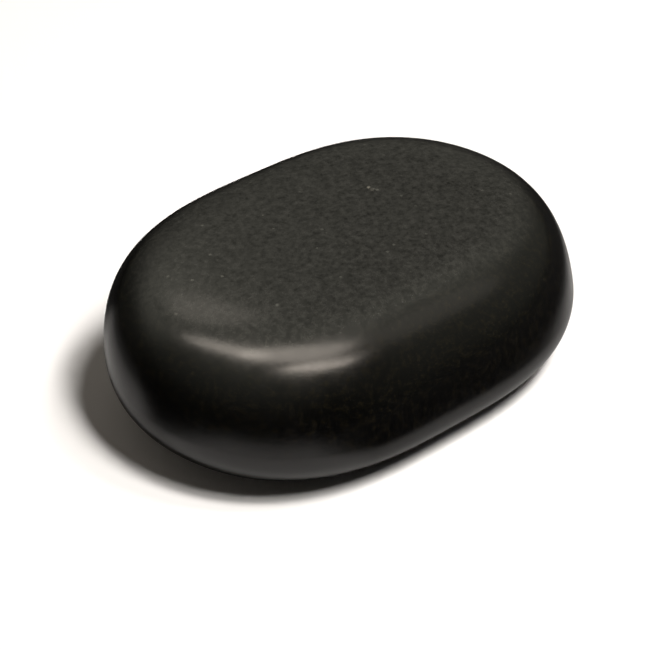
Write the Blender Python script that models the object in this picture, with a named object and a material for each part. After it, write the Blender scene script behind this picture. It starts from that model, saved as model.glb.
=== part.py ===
"""A massage stone: one smooth pebble of black basalt, longer than it is wide, with a broad flat top.

The stone lies along X on its underside. The origin is the middle of its footprint, on the surface that it
lies on, with +Z up. All lengths are in metres.
"""

import math

import bmesh
import bpy
from mathutils import Vector

# Overall size. The length and width are those of the belly, the widest line round the stone.

LENGTH = 0.100
WIDTH = 0.0685
HEIGHT = 0.031

# Outline from above. A squareness of 2 both ways is an ellipse, and a higher one is nearer to a rectangle.

SIDE_SQUARENESS = 2.9  # keeps the two long sides straight
END_SQUARENESS = 1.95  # leaves the two ends round
END_TAPER = 0.024  # the +X end is narrower by this share, and the -X end wider

# Outline from the side, above the belly and below it. Flatness keeps the face level, and fullness, which
# is 2 for an ellipse, keeps the flank upright.

BELLY_HEIGHT = 0.0132
BELLY_RISE = 0.0028  # from the middle to the +Y side
TOP_FLATNESS = 5.7
TOP_FULLNESS = 2.35
UNDERSIDE_FLATNESS = 4.7
UNDERSIDE_FULLNESS = 2.15

# The stone leans: what is above the belly is shifted and narrowed by these shares of its height

LEAN_ALONG = 0.067
LEAN_ACROSS = 0.20
NARROWING = 2.0  # per metre

# The stone rests on a flat patch, ground off the lowest part of its underside

GROUND_OFF = 0.0003

# The mesh is a cube's six faces, each cut into this many squares a side, pushed out onto the stone

SQUARES_A_SIDE = 20

# Finish: black basalt, honed and oiled

BASALT_COLOUR = (0.012, 0.0115, 0.010, 1.0)
BASALT_ROUGHNESS = 0.22


def clear_scene():
    for thing in list(bpy.data.objects):
        bpy.data.objects.remove(thing, do_unlink=True)


def new_collection(name):
    collection = bpy.data.collections.new(name)
    bpy.context.scene.collection.children.link(collection)
    return collection


def even_direction(corner):
    """The direction of a point on the cube from -1 to 1, spread so that the squares stay alike in size."""
    return Vector([math.tan(value * math.pi / 4) for value in corner]).normalized()


def reach(first, second, first_power, second_power):
    """The length at which the ray (first, second) meets the curve x**first_power + y**second_power = 1."""
    near, far = 0.0, 2.0
    for _ in range(40):
        middle = (near + far) / 2
        if (middle * first) ** first_power + (middle * second) ** second_power < 1:
            near = middle
        else:
            far = middle
    return middle


def on_stone(direction):
    """The point where this direction from inside the stone comes out through its skin."""
    level = math.hypot(direction.x, direction.y)
    along = direction.x / level if level > 0 else 1.0
    across = direction.y / level if level > 0 else 0.0
    from_above = reach(abs(along), abs(across), SIDE_SQUARENESS, END_SQUARENESS)
    if direction.z > 0:
        from_side = reach(level, direction.z, TOP_FLATNESS, TOP_FULLNESS)
    else:
        from_side = reach(level, -direction.z, UNDERSIDE_FLATNESS, UNDERSIDE_FULLNESS)

    # x and y run from -1 to 1 over the stone's length and width
    x = along * level * from_side * from_above
    y = across * level * from_side * from_above
    belly = BELLY_HEIGHT + BELLY_RISE * y
    room = HEIGHT - belly if direction.z > 0 else belly + GROUND_OFF
    above_belly = room * from_side * direction.z
    girth = 1 - NARROWING * above_belly
    return Vector(
        (
            x * girth * LENGTH / 2 + LEAN_ALONG * above_belly,
            y * girth * (1 - END_TAPER * x) * WIDTH / 2 + LEAN_ACROSS * above_belly,
            belly + above_belly,
        )
    )


def centre_footprint(bm):
    """Moves the stone level, until the middle of its box is over the origin."""
    for axis in (0, 1):
        low = min(vertex.co[axis] for vertex in bm.verts)
        high = max(vertex.co[axis] for vertex in bm.verts)
        shift = Vector((0.0, 0.0, 0.0))
        shift[axis] = -(low + high) / 2
        bmesh.ops.translate(bm, vec=shift, verts=bm.verts[:])


def stone_mesh():
    bm = bmesh.new()
    bmesh.ops.create_cube(bm, size=2.0)
    bmesh.ops.subdivide_edges(bm, edges=bm.edges[:], cuts=SQUARES_A_SIDE - 1, use_grid_fill=True)
    for vertex in bm.verts:
        vertex.co = on_stone(even_direction(vertex.co))
        vertex.co.z = max(vertex.co.z, 0.0)
    centre_footprint(bm)
    bmesh.ops.recalc_face_normals(bm, faces=bm.faces[:])
    mesh = bpy.data.meshes.new("stone")
    bm.to_mesh(mesh)
    bm.free()
    mesh.shade_smooth()
    return mesh


def basalt():
    material = bpy.data.materials.new("honed basalt")
    material.use_nodes = True
    shader = material.node_tree.nodes["Principled BSDF"]
    shader.inputs["Base Color"].default_value = BASALT_COLOUR
    shader.inputs["Roughness"].default_value = BASALT_ROUGHNESS
    shader.inputs["Metallic"].default_value = 0.0
    return material


def build():
    clear_scene()
    stone = bpy.data.objects.new("stone", stone_mesh())
    stone.data.materials.append(basalt())
    new_collection("massage_stone").objects.link(stone)


build()
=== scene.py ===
# %% [markdown]
# # A basalt massage stone
#
# The object is one pebble of black basalt, about as long as a palm is wide. Its top is broad and almost
# flat, its sides are full and round, and it lies on a flat underside. The skin is honed, which means ground
# smooth but not polished, and it is oiled by use, so a nearly black stone shows soft, wide highlights.
#
# This lesson takes the stone's plain solid as a fixed frame, makes the fine surface that stands for it,
# gives it a procedural basalt, and lights it on a white floor.

# %% The frame and its box
import math
import random

import bmesh
import bpy
from mathutils import Matrix, Vector, noise
from mathutils.bvhtree import BVHTree
from mathutils.kdtree import KDTree


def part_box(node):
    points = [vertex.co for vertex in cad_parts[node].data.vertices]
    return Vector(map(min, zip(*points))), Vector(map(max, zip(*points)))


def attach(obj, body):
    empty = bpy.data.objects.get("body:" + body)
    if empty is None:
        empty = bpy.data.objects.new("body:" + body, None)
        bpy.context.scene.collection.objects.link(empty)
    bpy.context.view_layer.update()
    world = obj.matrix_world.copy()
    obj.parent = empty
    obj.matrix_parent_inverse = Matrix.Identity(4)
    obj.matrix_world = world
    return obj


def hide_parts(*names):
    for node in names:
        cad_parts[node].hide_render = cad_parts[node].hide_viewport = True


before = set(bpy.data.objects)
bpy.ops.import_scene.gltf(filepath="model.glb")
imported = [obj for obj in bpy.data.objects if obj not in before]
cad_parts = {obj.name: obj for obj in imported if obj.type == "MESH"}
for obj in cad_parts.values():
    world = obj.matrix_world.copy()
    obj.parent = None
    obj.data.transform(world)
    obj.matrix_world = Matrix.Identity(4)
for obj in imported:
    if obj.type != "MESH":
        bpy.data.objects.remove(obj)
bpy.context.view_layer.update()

STONE_LOW, STONE_HIGH = (Vector(corner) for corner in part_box("stone"))
STONE_SIZE = STONE_HIGH - STONE_LOW
print("the solid measures", [round(side * 1000, 1) for side in STONE_SIZE], "mm")

# %% [markdown]
# ## Units and colours
#
# Blender counts in metres. A pebble is easier to describe in millimetres, so those are multiplied by one
# small number. Colours are written as the hex values that a picture shows. Shader sockets want them linear,
# so one function undoes the screen's curve.

# %% Millimetres and colours
MM = 0.001


def linear(hex_colour):
    """The linear RGBA of an sRGB hex colour such as "#3c3a36"."""
    values = [int(hex_colour[place:place + 2], 16) / 255 for place in (1, 3, 5)]
    curve = [value / 12.92 if value <= 0.04045 else ((value + 0.055) / 1.055) ** 2.4 for value in values]
    return (*curve, 1.0)


print("mid grey #808080 is", [round(value, 3) for value in linear("#808080")[:3]])

# %% [markdown]
# ## The camera
#
# The stone is seen from above one of its corners, from half a metre away with a long lens. The camera is
# placed by its direction round the stone, its height above the floor and its distance, and then aimed. How
# wide a field it sees at the stone gives the length of its lens.

# %% Place the camera
VIEW_ROUND = math.radians(39.25)     # turned from the stone's width towards its -X end
VIEW_HEIGHT = math.radians(36.9)
VIEW_DISTANCE = 530 * MM
FIELD_WIDTH = 126.2 * MM
AIM = Vector((-6.37, -1.93, 13.0)) * MM
SENSOR_WIDTH = 36                    # in mm, as a camera's data has it

TOWARDS_CAMERA = Vector((
    -math.sin(VIEW_ROUND) * math.cos(VIEW_HEIGHT),
    -math.cos(VIEW_ROUND) * math.cos(VIEW_HEIGHT),
    math.sin(VIEW_HEIGHT),
))
camera = bpy.data.objects.new("camera", bpy.data.cameras.new("camera"))
camera.data.sensor_width = SENSOR_WIDTH
camera.data.lens = SENSOR_WIDTH * VIEW_DISTANCE / FIELD_WIDTH
camera.data.clip_start = 10 * MM
camera.location = AIM + TOWARDS_CAMERA * VIEW_DISTANCE
camera.rotation_euler = TOWARDS_CAMERA.to_track_quat("Z", "Y").to_euler()
bpy.context.scene.collection.objects.link(camera)
bpy.context.scene.camera = camera
print("the lens is", round(camera.data.lens), "mm")

# %% [markdown]
# ## The stone's form
#
# A pebble has no edges to draw, so its form is given by a rule. Seen from above it lies between an ellipse
# and a rectangle, and so it does from the side, where its faces are flat and its flank is round. It also
# leans a little, as stones do. Sculpting it by hand would work too, but a rule keeps it as smooth as years
# in a river did. These are the same values that the plain solid was made from.

# %% The rule for the form
LENGTH = 100.0 * MM
WIDTH = 68.5 * MM
HEIGHT = STONE_SIZE.z
SIDE_SQUARENESS = 2.9                # 2 both ways is an ellipse, and more is nearer to a rectangle
END_SQUARENESS = 1.95
END_TAPER = 0.024                    # the share by which the +X end is narrower and the -X end wider
BELLY_HEIGHT = 13.2 * MM             # the belly is the widest line round the stone
BELLY_RISE = 2.8 * MM                # from the middle to the +Y side
TOP_FLATNESS = 5.7                   # flatness keeps a face level, and fullness keeps a flank upright
TOP_FULLNESS = 2.35
UNDERSIDE_FLATNESS = 4.7
UNDERSIDE_FULLNESS = 2.15
LEAN_ALONG = 0.067                   # shares of its height by which what is above the belly is shifted
LEAN_ACROSS = 0.20
NARROWING = 2.0                      # per metre above the belly
GROUND_OFF = 0.3 * MM                # ground off the underside, to leave the patch that it lies on
SEARCH_ROUNDS = 30                   # halvings, enough for under a millionth of a millimetre


def reach(first, second, first_power, second_power):
    """The length at which the ray (first, second) meets the curve x**first_power + y**second_power = 1."""
    near, far = 0.0, 2.0
    for _ in range(SEARCH_ROUNDS):
        middle = (near + far) / 2
        if (middle * first) ** first_power + (middle * second) ** second_power < 1:
            near = middle
        else:
            far = middle
    return middle


def on_stone(direction):
    """The point where this direction from inside the stone comes out through its skin."""
    level = math.hypot(direction.x, direction.y)
    along = direction.x / level if level > 0 else 1.0
    across = direction.y / level if level > 0 else 0.0
    from_above = reach(abs(along), abs(across), SIDE_SQUARENESS, END_SQUARENESS)
    if direction.z > 0:
        from_side = reach(level, direction.z, TOP_FLATNESS, TOP_FULLNESS)
    else:
        from_side = reach(level, -direction.z, UNDERSIDE_FLATNESS, UNDERSIDE_FULLNESS)

    # x and y run from -1 to 1 over the stone's length and width
    x = along * level * from_side * from_above
    y = across * level * from_side * from_above
    belly = BELLY_HEIGHT + BELLY_RISE * y
    room = HEIGHT - belly if direction.z > 0 else belly + GROUND_OFF
    above_belly = room * from_side * direction.z
    girth = 1 - NARROWING * above_belly
    return Vector((
        x * girth * LENGTH / 2 + LEAN_ALONG * above_belly,
        y * girth * (1 - END_TAPER * x) * WIDTH / 2 + LEAN_ACROSS * above_belly,
        belly + above_belly,
    ))


def from_cube(corner):
    """Where a point of the cube from -1 to 1 lands on the stone, spread so that squares stay alike."""
    return on_stone(Vector([math.tan(value * math.pi / 4) for value in corner]).normalized())


middle_of_top = on_stone(Vector((0, 0, 1)))
print("straight up the rule gives", [round(value * 1000, 2) for value in middle_of_top], "mm")

# %% [markdown]
# ## A cube of fine squares
#
# The mesh starts as a cube whose faces are cut into small squares, which are pushed out onto the form. A
# sphere would bunch its faces at two poles, which a gloss shows as pinched highlights, while a cube spreads
# them evenly. Squares of under a millimetre are fine enough for an outline and reflections that look smooth.

# %% Cut the cube
SQUARES_A_SIDE = 120

skin = bmesh.new()
bmesh.ops.create_cube(skin, size=2.0)
bmesh.ops.subdivide_edges(skin, edges=skin.edges[:], cuts=SQUARES_A_SIDE - 1, use_grid_fill=True)
skin.verts.ensure_lookup_table()
print(len(skin.faces), "squares")

# %% Find where its vertices land, and centre them over the solid
landed = [from_cube(vertex.co) for vertex in skin.verts]
low = Vector([min(point[axis] for point in landed) for axis in range(3)])
high = Vector([max(point[axis] for point in landed) for axis in range(3)])
shift = (STONE_LOW + STONE_HIGH) / 2 - (low + high) / 2
shift.z = 0.0
landed = [point + shift for point in landed]
print(len(landed), "vertices, moved level by", [round(value * 1000, 2) for value in shift], "mm")

# %% [markdown]
# ## Where the dents are
#
# Basalt holds old gas bubbles. Where grinding cuts one open it leaves a round pit of half a millimetre. The
# top also has one small nick, where a flake has come away and shows fresh, pale stone. Bump in the material
# could fake them, but they are real dents, so the mesh gets them. The cube's squares are cut finer wherever
# a dent will land. That is done while they are still flat, so the finer ones follow the form exactly too.

# %% Choose the dents
# Each dent has its place in mm, its width in mm and how fresh the stone in it is, from 0 to 1
TOP_DENTS = [
    ((13.6, 9.0, 31.0), 1.0, 1.0),       # the nick
    ((13.7, 8.0, 31.0), 1.5, 0.25),      # the wider, duller graze beside it
    ((-8.5, 14.6, 31.0), 0.55, 0.35),
    ((-1.9, -2.7, 31.0), 0.5, 0.35),
]
PIT_COUNT = 12
PIT_WIDTHS = (0.4, 0.65)             # the least and the most, in mm
PIT_SEED = 11
PITS_FROM = WIDTH / 6                # the pits lie further than this towards +Y

draw = random.Random(PIT_SEED)
far_side = [point for point in landed if point.y > PITS_FROM]
pits = [(draw.choice(far_side) / MM, draw.uniform(*PIT_WIDTHS), 0.0) for _ in range(PIT_COUNT)]
dents = TOP_DENTS + pits
print(len(dents), "dents, and", len(pits), "of them are on the far side")

# %% Cut finer squares for them
FINER = 4                            # parts that each edge near a dent is cut into
MARGIN = 0.9 * MM

tree = KDTree(len(landed))
for index, point in enumerate(landed):
    tree.insert(point, index)
tree.balance()
close = set()
for place, width, _ in dents:
    close.update(index for _, index, _ in tree.find_range(Vector(place) * MM, width * MM / 2 + MARGIN))
edges = [edge for edge in skin.edges if edge.verts[0].index in close and edge.verts[1].index in close]
bmesh.ops.subdivide_edges(skin, edges=edges, cuts=FINER - 1, use_grid_fill=True)
print(len(skin.verts) - len(landed), "more vertices for the dents")

# %% [markdown]
# ## Out onto the form
#
# Now each vertex moves from the cube to where the rule puts the skin. A subdivision surface would round the
# cube off by itself, but into no shape that can be chosen. A square beside a finer one has got more than
# four corners on the way. The renderer would cut such a face into triangles as it likes, and a gloss shows
# thin ones as streaks, so they are cut here, by the method that avoids thin ones.

# %% Push the squares out onto the form
for vertex in skin.verts:
    vertex.co = from_cube(vertex.co) + shift

many_sided = [face for face in skin.faces if len(face.verts) > 4]
bmesh.ops.triangulate(skin, faces=many_sided, ngon_method="BEAUTY")
print("the skin is", round(max(vertex.co.z for vertex in skin.verts) * 1000, 2), "mm high")

# %% [markdown]
# ## Ground unevenness
#
# A honed stone is never quite true. Grinding leaves very shallow swells, a tenth of a millimetre deep and a
# few centimetres wide. They don't show in the outline, but they bend the highlights, and this is what tells
# a stone from moulded plastic. They fade out towards the underside, which stays flat to rest on. A smooth
# noise over the vertices gives them, and being in the mesh they also stay in the finished shape.

# %% Raise shallow swells
SWELL_WIDTH = 24 * MM
SWELL_DEPTH = 0.10 * MM
SWELL_FADE = 4 * MM                  # the height at which the swells are full

skin.normal_update()
for vertex in skin.verts:
    fade = min(1.0, max(0.0, vertex.co.z / SWELL_FADE))
    swell = noise.noise(vertex.co / SWELL_WIDTH) * SWELL_DEPTH
    vertex.co = vertex.co + vertex.normal * swell * fade
for vertex in skin.verts:
    vertex.co.z = min(max(vertex.co.z, 0.0), HEIGHT)
print("swells of", SWELL_DEPTH / MM, "mm over", SWELL_WIDTH / MM, "mm")

# %% [markdown]
# ## Where the top is painted lighter
#
# The level top is given paler, greyer colours than the flanks, as painted light that falls from above.
# A value at each vertex says how much of it there is, from how level the skin lies there, and the material
# reads it later. It could be painted by hand instead, but the slope of the skin already says it. It is
# worked out before the dents are pressed in, so that they don't disturb it.

# %% Note how much painted light each place gets
PAINTED_LIGHT_FROM, PAINTED_LIGHT_TO = 0.75, 0.99        # how level the skin is, where 1 is quite level

painted_top_light = skin.verts.layers.float.new("painted_top_light")
skin.normal_update()
# Painted light: a smooth share, full where the skin lies level on top, none on the flanks and underside
for vertex in skin.verts:
    share = min(1.0, max(0.0, (vertex.normal.z - PAINTED_LIGHT_FROM) / (PAINTED_LIGHT_TO - PAINTED_LIGHT_FROM)))
    vertex[painted_top_light] = share * share * (3 - 2 * share)
print(sum(vertex[painted_top_light] > 0.5 for vertex in skin.verts), "of", len(skin.verts), "vertices are dry")

# %% [markdown]
# ## Press in the dents
#
# Each dent is a shallow bowl with a soft rim, about a seventh as deep as it is wide. The vertices inside it
# move inwards along their own normals. Cutting bowls out with a boolean would leave hard rims and thin
# faces round them. A second value at each vertex notes how fresh the stone is there.

# %% Press in the nick and the pits
DEPTH_SHARE = 0.15                   # of a dent's width

freshness = skin.verts.layers.float.new("freshness")
skin.normal_update()
skin.verts.ensure_lookup_table()
tree = KDTree(len(skin.verts))
for vertex in skin.verts:
    tree.insert(vertex.co, vertex.index)
tree.balance()
moves = []
for place, width, fresh in dents:
    radius = width * MM / 2
    centre, _, _ = tree.find(Vector(place) * MM)
    for point, index, distance in tree.find_range(centre, radius):
        bowl = (1 - (distance / radius) ** 2) ** 2
        vertex = skin.verts[index]
        vertex[freshness] = max(vertex[freshness], fresh * bowl)
        moves.append((vertex, vertex.normal * -bowl * width * MM * DEPTH_SHARE))
for vertex, move in moves:
    vertex.co = vertex.co + move
print(len(moves), "vertices pressed in")

# %% [markdown]
# ## From skin to piece
#
# The skin becomes a piece when it is written to a mesh object. That object rides on the stone's body and
# stands in for the plain solid. Its faces are turned outwards and shaded smooth, so that the small squares
# run into one curve. Then some of its vertices are measured against the solid, to see that the two are the
# same stone.

# %% Make the piece
bmesh.ops.recalc_face_normals(skin, faces=skin.faces[:])
stone_mesh = bpy.data.meshes.new("honed_stone")
skin.to_mesh(stone_mesh)
skin.free()
stone_mesh.shade_smooth()
stone = bpy.data.objects.new("honed_stone", stone_mesh)
bpy.context.scene.collection.objects.link(stone)
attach(stone, "root")
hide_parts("stone")
print("the piece has", len(stone_mesh.polygons), "faces")

# %% Measure it against the solid
MEASURED = 50                        # one vertex in this many

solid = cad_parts["stone"]
solid_tree = BVHTree.FromPolygons(
    [vertex.co.copy() for vertex in solid.data.vertices],
    [tuple(polygon.vertices) for polygon in solid.data.polygons],
)
gaps = [solid_tree.find_nearest(vertex.co)[3] for vertex in list(stone_mesh.vertices)[::MEASURED]]
print("the fine skin stays within", round(max(gaps) * 1000, 3), "mm of the solid")

# %% [markdown]
# ## Nodes
#
# A node material is a small graph. One helper adds a node of any kind, sets its options, and fills each
# input with a value or links it to the socket that it is given.

# %% One helper for nodes
# A colour mix has its factor at input 0, its two colours at 6 and 7, and its result at output 2
MIX_A, MIX_B, MIXED = 6, 7, 2

# The two ways in which a value here runs from one end of a range to the other
SMOOTH, STRAIGHT = "SMOOTHSTEP", "LINEAR"


def add_node(graph, kind, settings=None, inputs=None):
    """A new node of this kind, with its settings, and its inputs set to values or linked to sockets."""
    node = graph.nodes.new(kind)
    for name, value in (settings or {}).items():
        setattr(node, name, value)
    for name, value in (inputs or {}).items():
        if isinstance(value, bpy.types.NodeSocket):
            graph.links.new(value, node.inputs[name])
        else:
            node.inputs[name].default_value = value
    return node


print("the helper is ready")

# %% [markdown]
# ## Honed basalt
#
# Basalt is a fine-grained lava, honed here with fine grit and oiled. Oiled it is almost black and slightly
# warm, and its skin mirrors about a twentieth of the light, softly. Its grains are dark pyroxene and paler
# feldspar, with a few larger feldspar crystals among them. On the level top its colours are painted paler
# and greyer, as light that falls from above, so that its grains show there. To the eye that gives soft, wide
# highlights on black flanks, and a top of charcoal grey with a faint pepper of grains.
#
# A photograph of stone could be wrapped round the pebble, but it would stretch and show its seams. Noise
# that is worked out from the place in space runs through the stone in every direction, as its grains do.

# %% Noise for grains and sheen
# Real grains are a tenth to half a millimetre across. They are drawn about twice as coarse, because finer
# ones would blur away in the picture.
GRAIN_SIZE = 1.25 * MM
FINE_GRAIN_SIZE = 0.6 * MM
FINE_SHARE = 0.25                    # how much of the fine grain is added to the coarser one
SHEEN_PATCH = 3.0 * MM

basalt = bpy.data.materials.new("honed_basalt")
basalt.use_nodes = True
graph = basalt.node_tree
graph.nodes.clear()
in_stone = add_node(graph, "ShaderNodeTexCoord").outputs["Object"]

# Each noise has its size, how many finer layers lie over it, and how strong each is beside the last
noises = {}
for name, size, layers, strength in (
    ("sheen", SHEEN_PATCH, 3.0, 0.6),
    ("grain", GRAIN_SIZE, 4.0, 0.72),
    ("fine", FINE_GRAIN_SIZE, 3.0, 0.7),
):
    noises[name] = add_node(graph, "ShaderNodeTexNoise", {}, {
        "Vector": in_stone, "Scale": 1 / size, "Detail": layers, "Roughness": strength}).outputs["Fac"]
grain = add_node(graph, "ShaderNodeMath", {"operation": "MULTIPLY_ADD"}, {
    0: noises["fine"], 1: FINE_SHARE, 2: noises["grain"]}).outputs["Value"]
print("grain from", len(noises) - 1, "sizes of noise")

# %% Scattered crystals
CRYSTAL_SPACING = 2.4 * MM           # the size of a cell, which may hold one crystal
CRYSTAL_CORE, CRYSTAL_RIM = 0.06, 0.20  # where a crystal begins to fade and where it ends, in spacings
EMPTY_CELLS, FULL_CELLS = 0.82, 0.98  # a cell's random number has to pass the first to show its crystal

cells = add_node(graph, "ShaderNodeTexVoronoi", {}, {"Vector": in_stone, "Scale": 1 / CRYSTAL_SPACING})
spot = add_node(graph, "ShaderNodeMapRange", {"interpolation_type": SMOOTH}, {
    "Value": cells.outputs["Distance"], "From Min": CRYSTAL_CORE, "From Max": CRYSTAL_RIM,
    "To Min": 1.0, "To Max": 0.0})
chosen = add_node(graph, "ShaderNodeSeparateColor", {}, {"Color": cells.outputs["Color"]})
chosen = add_node(graph, "ShaderNodeMapRange", {}, {
    "Value": chosen.outputs["Red"], "From Min": EMPTY_CELLS, "From Max": FULL_CELLS,
    "To Min": 0.0, "To Max": 1.0})
crystal = add_node(graph, "ShaderNodeMath", {"operation": "MULTIPLY"}, {
    0: spot.outputs["Result"], 1: chosen.outputs["Result"]}).outputs["Value"]
print("a crystal in about one cell of", round(1 / (1 - EMPTY_CELLS)))

# %% The stone's colours, and a paler copy for painted light
# Each state of the skin has the grain values of its dark and its pale grains, their colours, and the
# colour of its crystals. On the plain stone, under its oil, only the palest grains show. The second is a
# paler, greyer copy of it, which paints light onto the level top.
states = {}
for name, from_grain, to_grain, dark, pale, crystals in (
    ("oiled", 0.61, 0.80, "#000000", "#0f0c05", "#18140b"),
    ("lit_top", 0.40, 0.88, "#0c0c0b", "#343431", "#4a4a45"),
):
    feldspar = add_node(graph, "ShaderNodeMapRange", {}, {
        "Value": grain, "From Min": from_grain, "From Max": to_grain, "To Min": 0.0, "To Max": 1.0})
    grains = add_node(graph, "ShaderNodeMix", {"data_type": "RGBA"}, {
        0: feldspar.outputs["Result"], MIX_A: linear(dark), MIX_B: linear(pale)}).outputs[MIXED]
    states[name] = add_node(graph, "ShaderNodeMix", {"data_type": "RGBA"}, {
        0: crystal, MIX_A: grains, MIX_B: linear(crystals)}).outputs[MIXED]
print("the skin's states are", list(states))

# %% Painted light on the top, and fresh stone in the nick
FRESH_STONE = "#6c6960"

# The level top takes the paler copy, as painted light from above
colour = add_node(graph, "ShaderNodeMix", {"data_type": "RGBA"}, {
    0: add_node(graph, "ShaderNodeAttribute", {"attribute_name": "painted_top_light"}).outputs["Fac"],
    MIX_A: states["oiled"],
    MIX_B: states["lit_top"],
}).outputs[MIXED]
colour = add_node(graph, "ShaderNodeMix", {"data_type": "RGBA"}, {
    0: add_node(graph, "ShaderNodeAttribute", {"attribute_name": "freshness"}).outputs["Fac"],
    MIX_A: colour,
    MIX_B: linear(FRESH_STONE),
}).outputs[MIXED]
print("fresh stone is", [round(value, 3) for value in linear(FRESH_STONE)[:3]])

# %% The honed skin's gloss and relief
# Honing leaves a soft gloss, a little uneven from patch to patch, and grains that stand barely proud
SHEEN_LOW, SHEEN_HIGH = 0.3, 0.7     # nearly all of the noise lies between these
ROUGHNESS_LEAST, ROUGHNESS_MOST = 0.18, 0.24  # a dry honed stone has 0.3 or more, and oil smooths it
BASALT_IOR = 1.55                    # about that of feldspar
RELIEF = 0.016 * MM                  # how far the grains stand proud

gloss = add_node(graph, "ShaderNodeMapRange", {}, {
    "Value": noises["sheen"], "From Min": SHEEN_LOW, "From Max": SHEEN_HIGH,
    "To Min": ROUGHNESS_LEAST, "To Max": ROUGHNESS_MOST})
bump = add_node(graph, "ShaderNodeBump", {}, {"Height": grain, "Distance": RELIEF, "Strength": 1.0})
shader = add_node(graph, "ShaderNodeBsdfPrincipled", {}, {
    "Base Color": colour,
    "Roughness": gloss.outputs["Result"],
    "IOR": BASALT_IOR,
    "Normal": bump.outputs["Normal"],
})
add_node(graph, "ShaderNodeOutputMaterial", {}, {"Surface": shader.outputs["BSDF"]})
stone_mesh.materials.append(basalt)
print("honed basalt has", len(graph.nodes), "nodes")

# %% [markdown]
# ## The floor
#
# The stone lies on a sheet of white paper, so wide that its edge is never seen. A stage piece like this
# isn't part of the object. It lies a hair below the stone, so that the two don't share a surface. What lies
# where on it is easiest to say from the camera's place, so two level directions are worked out first:
# straight ahead and to the right.

# %% The directions of the studio
AHEAD = Vector((math.sin(VIEW_ROUND), math.cos(VIEW_ROUND), 0.0))
RIGHT = Vector((math.cos(VIEW_ROUND), -math.sin(VIEW_ROUND), 0.0))
UP = Vector((0, 0, 1))
print("ahead is", [round(value, 2) for value in AHEAD])

# %% A wide sheet of paper
FLOOR_SIZE = 20.0                    # in metres
FLOOR_GAP = 0.02 * MM

sheet = bmesh.new()
bmesh.ops.create_grid(sheet, x_segments=1, y_segments=1, size=FLOOR_SIZE / 2)
bmesh.ops.translate(sheet, vec=(0, 0, -FLOOR_GAP), verts=sheet.verts[:])
floor_mesh = bpy.data.meshes.new("floor")
sheet.to_mesh(floor_mesh)
sheet.free()
floor = bpy.data.objects.new("floor", floor_mesh)
bpy.context.scene.collection.objects.link(floor)
print("the paper is", FLOOR_SIZE, "m wide")

# %% [markdown]
# ## White paper
#
# To the eye the paper is plain white, because it is matt and fully lit. A glossy stone mirrors the paper
# round it, and there the light falls off: a broad lobe in front and a short one to the left stay bright, and
# the right side is dark. Real flags and reflectors round a table would do this. Here the paper shows its
# plain white to the camera, and a pattern of light only to rays that come off the gloss. Far from the
# stone, where the lamps don't reach, it glows by itself, so that it stays white up to the horizon.

# %% Places on the paper
LOBE_WIDTH = 21.6 * MM               # half the front lobe's width beside the stone's middle
LOBE_WIDENING = -0.36                # added to it for each metre ahead, so it is wider near the camera
LOBE_OFF_CENTRE = 20 * MM            # to the left
DIAGONAL = 0.82                      # the slope that the left lobe ends along

paper = bpy.data.materials.new("white_paper")
paper.use_nodes = True
graph = paper.node_tree
graph.nodes.clear()
where = add_node(graph, "ShaderNodeTexCoord").outputs["Object"]
beside = add_node(graph, "ShaderNodeVectorMath", {"operation": "DOT_PRODUCT"}, {
    0: where, 1: RIGHT}).outputs["Value"]
before = add_node(graph, "ShaderNodeVectorMath", {"operation": "DOT_PRODUCT"}, {
    0: where, 1: AHEAD}).outputs["Value"]
half_width = add_node(graph, "ShaderNodeMath", {"operation": "MULTIPLY_ADD"}, {
    0: before, 1: LOBE_WIDENING, 2: LOBE_WIDTH}).outputs["Value"]
off_axis = add_node(graph, "ShaderNodeMath", {"operation": "ADD"}, {0: beside, 1: LOBE_OFF_CENTRE})
off_axis = add_node(graph, "ShaderNodeMath", {"operation": "ABSOLUTE"}, {0: off_axis.outputs["Value"]})
across_lobe = add_node(graph, "ShaderNodeMath", {"operation": "DIVIDE"}, {
    0: off_axis.outputs["Value"], 1: half_width}).outputs["Value"]
past_diagonal = add_node(graph, "ShaderNodeMath", {"operation": "MULTIPLY_ADD"}, {
    0: beside, 1: DIAGONAL, 2: before}).outputs["Value"]
ring = add_node(graph, "ShaderNodeVectorMath", {"operation": "MULTIPLY"}, {
    0: where, 1: (2 / LENGTH, 2 / WIDTH, 0)}).outputs["Vector"]
ring = add_node(graph, "ShaderNodeVectorMath", {"operation": "LENGTH"}, {0: ring}).outputs["Value"]
distance = add_node(graph, "ShaderNodeVectorMath", {"operation": "LENGTH"}, {0: where}).outputs["Value"]
print("the front lobe is", round(2 * LOBE_WIDTH / MM, 1), "mm wide beside the stone's middle")

# %% Lobes of light
# Each lobe is the product of its fades, and each fade runs from one value to another between two places
LOBES = {
    "front": (
        (across_lobe, SMOOTH, 0.65, 1.35, 1.0, 0.0),
        (before, SMOOTH, -20 * MM, -48 * MM, 0.0, 1.0),
        (before, STRAIGHT, -60 * MM, -400 * MM, 0.68, 0.15),
    ),
    "left": (
        (before, SMOOTH, -50 * MM, -28 * MM, 0.0, 1.0),
        (past_diagonal, SMOOTH, -48 * MM, -28 * MM, 1.0, 0.0),
        (beside, STRAIGHT, -70 * MM, -165 * MM, 0.54, 0.12),
        (beside, SMOOTH, -40 * MM, -60 * MM, 0.0, 1.0),
    ),
    "round the stone": ((ring, SMOOTH, 1.30, 1.85, 0.44, 0.0),),
    "right": ((beside, STRAIGHT, 60 * MM, 180 * MM, 0.02, 0.05),),
}

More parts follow.
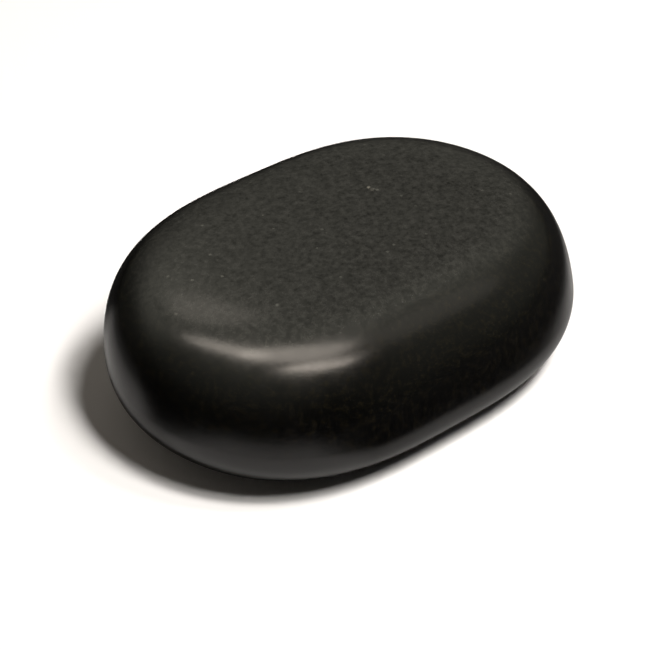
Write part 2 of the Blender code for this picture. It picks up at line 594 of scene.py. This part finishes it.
# The brightest lobe counts at each place
lit = None
for fades in LOBES.values():
    lobe = None
    for source, curve, near, far, at_near, at_far in fades:
        fade = add_node(graph, "ShaderNodeMapRange", {"interpolation_type": curve}, {
            "Value": source, "From Min": near, "From Max": far, "To Min": at_near, "To Max": at_far})
        fade = fade.outputs["Result"]
        if lobe:
            both = add_node(graph, "ShaderNodeMath", {"operation": "MULTIPLY"}, {0: lobe, 1: fade})
            fade = both.outputs["Value"]
        lobe = fade
    if lit:
        brighter = add_node(graph, "ShaderNodeMath", {"operation": "MAXIMUM"}, {0: lit, 1: lobe})
        lobe = brighter.outputs["Value"]
    lit = lobe
print("lobes of light:", list(LOBES))

# %% Paper as the camera sees it and as the gloss mirrors it
PAPER_COLOUR = "#f4f4f4"
MIRRORED_PAPER = 0.88                # how white the brightest paper is to the gloss
GLOW_FROM, GLOW_TO = 150 * MM, 350 * MM  # how far from the stone's middle the glow begins and is full

plain = add_node(graph, "ShaderNodeBsdfDiffuse", {}, {"Color": linear(PAPER_COLOUR)}).outputs["BSDF"]
glow = add_node(graph, "ShaderNodeEmission", {}, {"Color": linear("#ffffff"), "Strength": 1.0})
far_away = add_node(graph, "ShaderNodeMapRange", {"interpolation_type": SMOOTH}, {
    "Value": distance, "From Min": GLOW_FROM, "From Max": GLOW_TO, "To Min": 0.0, "To Max": 1.0})
plain = add_node(graph, "ShaderNodeMixShader", {}, {
    0: far_away.outputs["Result"], 1: plain, 2: glow.outputs["Emission"]}).outputs["Shader"]
patchy = add_node(graph, "ShaderNodeVectorMath", {"operation": "SCALE"}, {
    0: (MIRRORED_PAPER,) * 3, "Scale": lit}).outputs["Vector"]
mirrored = add_node(graph, "ShaderNodeBsdfDiffuse", {}, {"Color": patchy}).outputs["BSDF"]
ray = add_node(graph, "ShaderNodeLightPath")
seen = add_node(graph, "ShaderNodeMixShader", {}, {0: ray.outputs["Is Glossy Ray"], 1: plain, 2: mirrored})
add_node(graph, "ShaderNodeOutputMaterial", {}, {"Surface": seen.outputs["Shader"]})
floor_mesh.materials.append(paper)
print("white paper has", len(graph.nodes), "nodes")

# %% [markdown]
# ## Lamps
#
# What the gloss mirrors is set apart from what casts the shadow, because one lamp can't be in the right
# place for both. Two long strips overhead draw the broad upper highlight, a box behind the camera draws the
# short one under it, and two weak cards lift the left of the top and the right shoulder. Three soft lamps on
# the right light the paper and cast the shadow to the left. Each is an ellipse a metre away, spread between
# two directions, which are given by their turn from straight ahead and their height in degrees.

# %% Helpers for directions and lamps
def compass(turn, height):
    """The direction that is turned this far to the right of ahead, and raised this far, in degrees."""
    turn, height = math.radians(turn), math.radians(height)
    return (AHEAD * math.cos(turn) + RIGHT * math.sin(turn)) * math.cos(height) + UP * math.sin(height)


def soft_lamp(name, one_end, other_end, breadth, radiance, colour):
    """An ellipse a metre away, between two directions. Its radiance is 1 where it looks like white paper."""
    facing = (one_end + other_end).normalized()
    along = (other_end - one_end).normalized()
    lamp = bpy.data.lights.new(name, "AREA")
    lamp.shape = "ELLIPSE"
    lamp.size = (other_end - one_end).length
    lamp.size_y = breadth
    area = lamp.size * lamp.size_y * math.pi / 4
    lamp.energy = radiance * math.pi * area
    lamp.color = linear(colour)[:3]
    holder = bpy.data.objects.new(name, lamp)
    holder.location = facing
    holder.rotation_euler = Matrix((along, facing.cross(along), facing)).transposed().to_euler()
    bpy.context.scene.collection.objects.link(holder)
    return holder


print("straight to the right is", [round(value, 2) for value in compass(90, 0)])

# %% Lamps that only the gloss mirrors
STRIP_COLOUR = "#fff4e6"

for name, one_end, other_end, breadth, radiance in (
    ("left_strip", compass(-80.5, 54.6), compass(-167.5, 74.5), 0.18, 4.5),
    ("overhead_strip", compass(-117.8, 66.8), compass(113.8, 53.2), 0.29, 4.4),
    ("rear_box", compass(178, 60.3), compass(122.6, 41.9), 0.12, 10.5),
    ("left_card", compass(-51.3, 51.3), compass(-11.3, 58.4), 0.34, 0.88),
    ("right_card", compass(85, 30), compass(105, 52), 0.36, 0.35),
):
    soft_lamp(name, one_end, other_end, breadth, radiance, STRIP_COLOUR).visible_diffuse = False

# %% Lamps that light the paper and cast the shadow
KEY_COLOUR = "#fffaf5"
FULL_LIGHT = 5.0                     # the radiance times spread that lights the paper as white

for name, one_end, other_end, breadth, share in (
    ("key", compass(88, 67), compass(122, 68), 0.34, 0.65),
    ("low_fill", compass(68, 58), compass(82, 61), 0.20, 0.18),
    ("near_fill", compass(120, 60), compass(140, 59), 0.20, 0.22),
):
    spread = (other_end - one_end).length * breadth
    radiance = FULL_LIGHT * share / (spread * one_end.z)
    soft_lamp(name, one_end, other_end, breadth, radiance, KEY_COLOUR).visible_glossy = False
    print(name, "has a radiance of", round(radiance, 1))

# %% [markdown]
# ## The room
#
# The rest of the room is a soft glow, and each kind of ray meets its own. The camera sees plain white, so
# that low views stay pale. The paper gets a weak light, most of it from ahead on the left, which keeps the
# inside of the shadow from going black. The gloss mirrors four parts of a darker room: gloom in front, a
# glow behind the stone that is stronger on its left, and a bright right side. A photograph of a real studio
# could give this too, but here each part is a column of brightnesses from the horizon up, so each can be
# set by itself.

# %% How bright the room is
# Height, where 0 is the horizon and 1 is straight up, and how bright the room is there
SKIES = {
    "gloom": (
        (0.0, 0.012), (0.14, 0.02), (0.27, 0.035), (0.42, 0.09),
        (0.55, 0.16), (0.70, 0.24), (0.87, 0.45), (1.0, 0.60),
    ),
    "behind": (
        (0.0, 0.08), (0.16, 0.12), (0.31, 0.15), (0.47, 0.13),
        (0.57, 0.12), (0.68, 0.15), (0.87, 0.28), (1.0, 0.50),
    ),
    "left": (
        (0.0, 0.04), (0.16, 0.06), (0.31, 0.07), (0.47, 0.18),
        (0.57, 0.46), (0.68, 0.52), (0.87, 0.42), (1.0, 0.54),
    ),
    "right": (
        (0.0, 0.12), (0.14, 0.20), (0.27, 0.26), (0.38, 0.27),
        (0.50, 0.36), (0.64, 0.44), (0.87, 0.50), (1.0, 0.58),
    ),
}

world = bpy.data.worlds.new("studio")
world.use_nodes = True
bpy.context.scene.world = world
graph = world.node_tree
graph.nodes.clear()
way = add_node(graph, "ShaderNodeTexCoord").outputs["Generated"]
height = add_node(graph, "ShaderNodeSeparateXYZ", {}, {"Vector": way}).outputs["Z"]
skies = {}
for name, stops in SKIES.items():
    column = add_node(graph, "ShaderNodeValToRGB", {}, {"Fac": height})
    while len(column.color_ramp.elements) < len(stops):
        column.color_ramp.elements.new(0.5)
    for stop, (position, value) in zip(column.color_ramp.elements, stops):
        stop.position = position
        stop.color = (value, value, value, 1)
    skies[name] = column.outputs["Color"]
print("columns of brightness:", list(skies))

# %% Lay the parts of the room over each other
# Each part is laid over the ones before it. It has its turn from ahead in degrees, and the cosines of the
# angles from there at which it begins and is full.
PARTS = (
    ("behind", 30, -0.5, 0.35),
    ("left", -45, 0.62, 0.97),
    ("right", 72, 0.66, 0.97),
)
ROOM_COLOUR = "#fffde9"

level = add_node(graph, "ShaderNodeVectorMath", {"operation": "MULTIPLY"}, {0: way, 1: (1, 1, 0)})
level = add_node(graph, "ShaderNodeVectorMath", {"operation": "NORMALIZE"}, {0: level.outputs["Vector"]})
level = level.outputs["Vector"]
sky = skies["gloom"]
for name, turn, begins, full in PARTS:
    towards = add_node(graph, "ShaderNodeVectorMath", {"operation": "DOT_PRODUCT"}, {
        0: level, 1: compass(turn, 0)}).outputs["Value"]
    share = add_node(graph, "ShaderNodeMapRange", {"interpolation_type": SMOOTH}, {
        "Value": towards, "From Min": begins, "From Max": full, "To Min": 0.0, "To Max": 1.0})
    sky = add_node(graph, "ShaderNodeMix", {"data_type": "RGBA"}, {
        0: share.outputs["Result"], MIX_A: sky, MIX_B: skies[name]}).outputs[MIXED]
tinted = add_node(graph, "ShaderNodeVectorMath", {"operation": "MULTIPLY"}, {
    0: sky, 1: linear(ROOM_COLOUR)[:3]}).outputs["Vector"]
print("parts over the gloom:", [name for name, *_ in PARTS])

# %% A weak light from one side
REST_COLOUR = "#fff3e4"
REST_LIGHT = 0.20                    # how bright it is where it is full
REST_TURN = -40                      # the degrees from ahead at which it is full
REST_BEGINS, REST_FULL = -0.3, 0.7   # the cosines of the angles from there, as for the parts
REST_LEAST = 0.05                    # how much of it comes from the other side

towards = add_node(graph, "ShaderNodeVectorMath", {"operation": "DOT_PRODUCT"}, {
    0: level, 1: compass(REST_TURN, 0)}).outputs["Value"]
share = add_node(graph, "ShaderNodeMapRange", {"interpolation_type": SMOOTH}, {
    "Value": towards, "From Min": REST_BEGINS, "From Max": REST_FULL, "To Min": REST_LEAST, "To Max": 1.0})
one_sided = add_node(graph, "ShaderNodeVectorMath", {"operation": "SCALE"}, {
    0: linear(REST_COLOUR)[:3], "Scale": share.outputs["Result"]}).outputs["Vector"]
print("the weak light comes from", [round(value, 2) for value in compass(REST_TURN, 0)])

# %% The room as each kind of ray meets it
rooms = {}
for name, tint, strength in (
    ("for the gloss", tinted, 1.0),
    ("for the camera", linear("#ffffff"), 1.0),
    ("for the rest", one_sided, REST_LIGHT),
):
    rooms[name] = add_node(graph, "ShaderNodeBackground", {}, {
        "Color": tint, "Strength": strength}).outputs["Background"]
ray = add_node(graph, "ShaderNodeLightPath")
seen = add_node(graph, "ShaderNodeMixShader", {}, {
    0: ray.outputs["Is Camera Ray"], 1: rooms["for the rest"], 2: rooms["for the camera"]}).outputs["Shader"]
seen = add_node(graph, "ShaderNodeMixShader", {}, {
    0: ray.outputs["Is Glossy Ray"], 1: seen, 2: rooms["for the gloss"]}).outputs["Shader"]
add_node(graph, "ShaderNodeOutputWorld", {}, {"Surface": seen})
print("the room has", len(graph.nodes), "nodes")

# %% [markdown]
# ## The picture's tones
#
# The standard view shows the paper as pure white and keeps the stone's own dark tones, where a filmic view
# would grey them both.

# %% Set the view
bpy.context.scene.view_settings.view_transform = "Standard"
print("view:", bpy.context.scene.view_settings.view_transform)

# %% [markdown]
# ## The size, once more
#
# The fine skin has to be the size of the plain solid, or the part would no longer fit where it is used.

# %% End of the scene
print("the scene is built")
